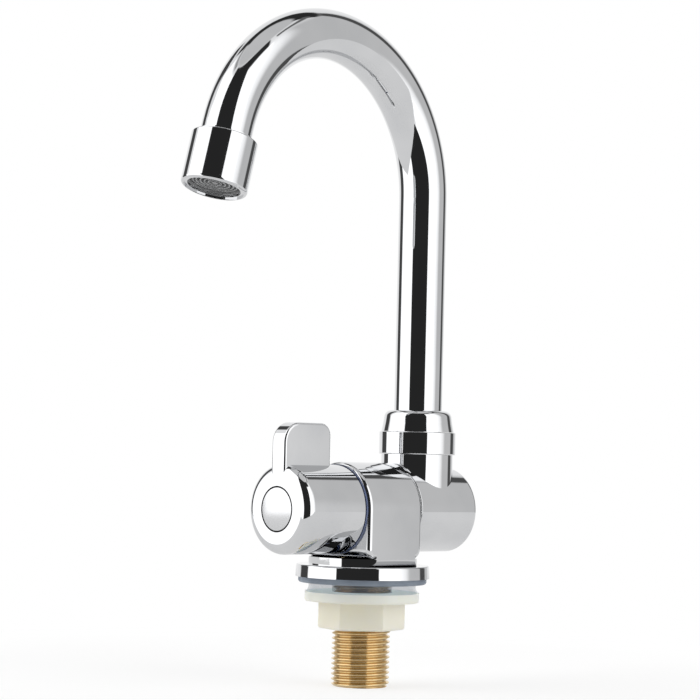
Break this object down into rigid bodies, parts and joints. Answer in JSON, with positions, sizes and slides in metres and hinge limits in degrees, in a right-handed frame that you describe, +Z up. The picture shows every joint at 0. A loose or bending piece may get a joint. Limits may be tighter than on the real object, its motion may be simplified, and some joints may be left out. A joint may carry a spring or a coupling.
{
  "type": "folding basin tap",
  "caption": "Chrome cold tap with a threaded tail, a lever handle, and a gooseneck spout that swivels and folds down.",
  "frame": {"origin": "on the tail's axis in the plane of the gasket's seat, which rests on the worktop", "axes": "+Z up out of the worktop, X along the body with the handle at minus X, front is minus Y"},
  "size_m": [0.1378, 0.0482, 0.2399],
  "materials": {
    "chrome_plate": "polished",
    "raw_brass": "machined",
    "black_rubber": "matt",
    "grey_rubber": "matt",
    "clear_plastic": "clear gloss",
    "ivory_plastic": "satin",
    "blue_plastic": "gloss",
    "ceramic": "lapped",
    "steel": "plain",
    "white_plastic": "satin",
    "grey_plastic": "satin"
  },
  "bodies": {
    "tap_body": {"body": "chrome_plate", "tail_stud": "raw_brass", "tail_o_ring": "black_rubber", "riser_ring": "chrome_plate", "riser_gasket": "grey_rubber", "cold_index_ring": "blue_plastic", "cartridge_body": "raw_brass", "cartridge_o_ring": "black_rubber", "cartridge_seal": "black_rubber", "fixed_ceramic_disc": "ceramic", "pivot_spigot": "raw_brass", "pivot_o_rings": "black_rubber", "pivot_screw": "steel", "pivot_keeper_washer": "steel", "pivot_thrust_washer": "white_plastic"},
    "handle_set": {"handle": "chrome_plate", "handle_index_cap": "chrome_plate", "handle_screw": "steel", "cartridge_spindle": "raw_brass", "spindle_o_rings": "black_rubber", "spindle_circlip": "steel", "moving_ceramic_disc": "ceramic"},
    "fold_housing": {"pivot_housing": "chrome_plate", "pivot_end_cap": "chrome_plate", "spout_nut": "chrome_plate"},
    "spout": {"spout_tube": "chrome_plate", "spout_ferrule": "raw_brass", "spout_o_rings": "black_rubber", "spout_slip_ring": "white_plastic", "spout_collar": "chrome_plate", "outlet_adaptor": "chrome_plate", "aerator_housing": "chrome_plate", "aerator_washer": "black_rubber", "aerator_insert": "grey_plastic", "aerator_screen": "steel"},
    "clamp_washer": {"clear_clamp_washer": "clear_plastic"},
    "clamp_nut": {"backnut": "ivory_plastic"}
  },
  "joints": [
    {"name": "handle_turn", "type": "hinge", "parent": "tap_body", "child": "handle_set", "pos_m": [-0.0423, 0, 0.0264], "axis": [1, 0, 0], "range_deg": [0, 90]},
    {"name": "spout_fold", "type": "hinge", "parent": "tap_body", "child": "fold_housing", "pos_m": [0.0266, 0, 0.0264], "axis": [1, 0, 0], "range_deg": [-90, 90]},
    {"name": "spout_swivel", "type": "hinge", "parent": "fold_housing", "child": "spout", "pos_m": [0.0266, 0, 0.0523], "axis": [0, 0, 1], "continuous": true},
    {"name": "washer_travel", "type": "slide", "parent": "tap_body", "child": "clamp_washer", "axis": [0, 0, -1], "range_m": [0, 0.0199]},
    {"name": "backnut_turn", "type": "hinge", "parent": "clamp_washer", "child": "clamp_nut", "pos_m": [0, 0, -0.0032], "axis": [0, 0, -1], "range_deg": [0, 3960]}
  ],
  "couplings": [
    {"joint": "backnut_turn", "follows": "washer_travel", "rad_per_m": 3463.7}
  ]
}
